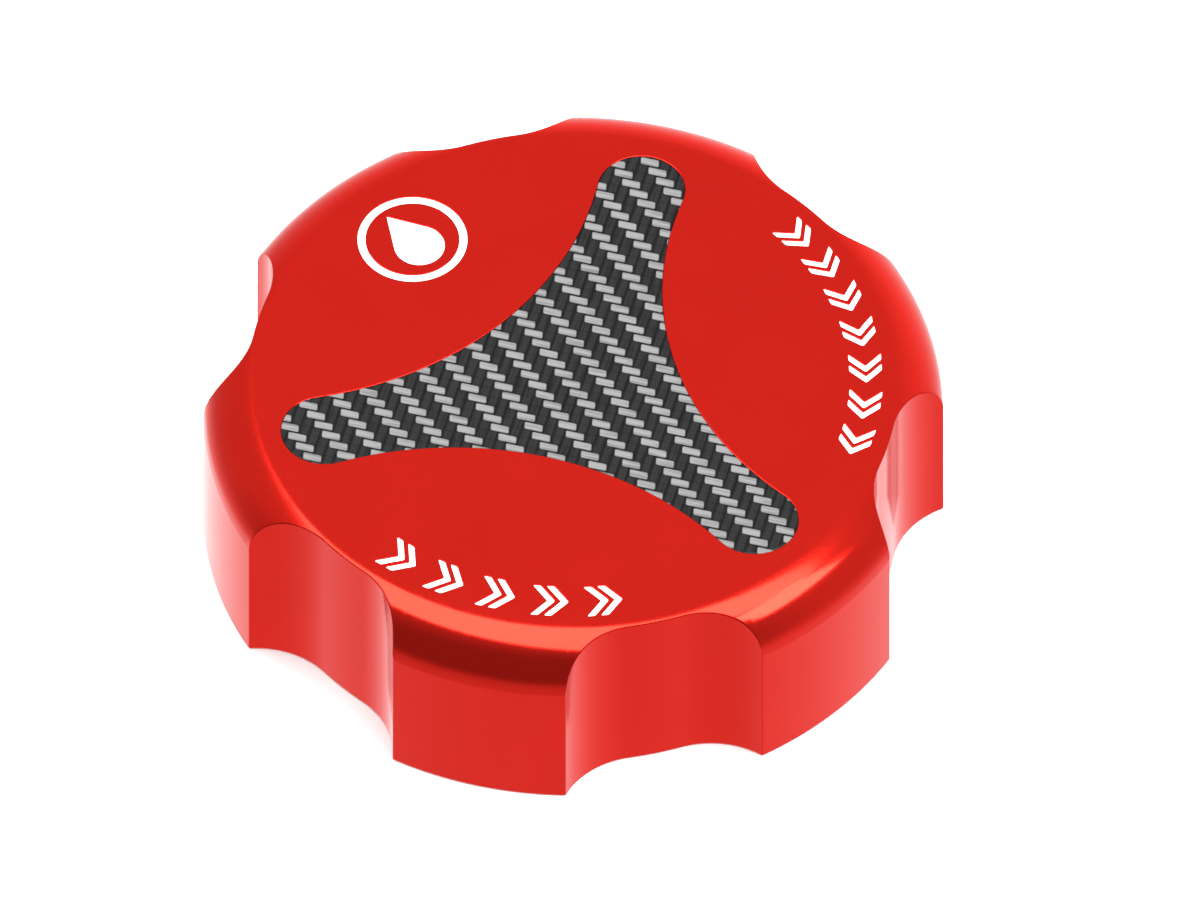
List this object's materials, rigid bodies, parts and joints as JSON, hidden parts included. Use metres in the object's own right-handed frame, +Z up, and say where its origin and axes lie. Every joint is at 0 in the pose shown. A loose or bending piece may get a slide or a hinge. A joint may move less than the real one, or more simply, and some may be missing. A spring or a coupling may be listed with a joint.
{
  "type": "fuel tank screw cap",
  "caption": "Round anodised screw cap for a fuel tank neck, with finger scallops, a flush three-armed carbon-fibre inlay, a swivelling gasket plate and vent valves.",
  "frame": {"origin": "centre of the plane of the skirt's lower rim, on the cap's axis", "axes": "+Z up along the cap's axis, out of its top; +Y along one arm of the inlay"},
  "size_m": [0.0672, 0.07, 0.0195],
  "materials": {
    "red_anodised": "satin red anodised",
    "carbon_fibre": "2/2 twill carbon fibre under clear resin",
    "bond_film": "cured epoxy film",
    "white_enamel": "white enamel fill",
    "zinc_steel": "zinc plated, pressed",
    "stainless": "stainless, brushed",
    "spring_steel": "drawn spring wire",
    "bronze": "phosphor bronze",
    "acetal": "black acetal",
    "nitrile": "black nitrile",
    "fluoro_rubber": "brown fluorocarbon rubber",
    "ball_steel": "polished ball"
  },
  "bodies": {
    "cap": {"cap_body": "red_anodised", "carbon_inlay": "carbon_fibre", "inlay_adhesive": "bond_film", "marking_enamel": "white_enamel", "plate_spring": "spring_steel", "valve_block": "acetal", "block_o_rings": "fluoro_rubber", "valve_cover": "stainless", "cover_gasket": "nitrile", "cover_screws": "stainless", "pressure_spring": "spring_steel", "vacuum_spring": "spring_steel"},
    "slip_ring": {"slip_washer": "bronze"},
    "seal_assembly": {"seal_plate": "zinc_steel", "neck_gasket": "nitrile", "hub_seal": "fluoro_rubber"},
    "pressure_valve": {"pressure_poppet": "acetal", "pressure_seal": "fluoro_rubber"},
    "vacuum_valve": {"vacuum_poppet": "stainless", "vacuum_seal": "fluoro_rubber", "stem_clip": "spring_steel"},
    "ball": {"rollover_ball": "ball_steel"}
  },
  "joints": [
    {"name": "plate_lift", "type": "slide", "parent": "cap", "child": "slip_ring", "axis": [0, 0, 1], "range_m": [0, 0.0012], "stiffness_N_per_m": 4000, "springref_m": -0.002, "deforming": ["plate_spring"]},
    {"name": "plate_swivel", "type": "hinge", "parent": "slip_ring", "child": "seal_assembly", "pos_m": [0, 0, 0.0098], "axis": [0, 0, 1], "continuous": true},
    {"name": "pressure_relief", "type": "slide", "parent": "cap", "child": "pressure_valve", "axis": [0, 0, -1], "range_m": [0, 0.001], "stiffness_N_per_m": 250, "springref_m": -0.0012, "deforming": ["pressure_spring"]},
    {"name": "vacuum_intake", "type": "slide", "parent": "cap", "child": "vacuum_valve", "axis": [0, 0, 1], "range_m": [0, 0.0008], "stiffness_N_per_m": 120, "springref_m": -0.001, "deforming": ["vacuum_spring"]},
    {"name": "rollover_lift", "type": "slide", "parent": "cap", "child": "ball", "axis": [0, 0, 1], "range_m": [0, 0.00136]}
  ]
}
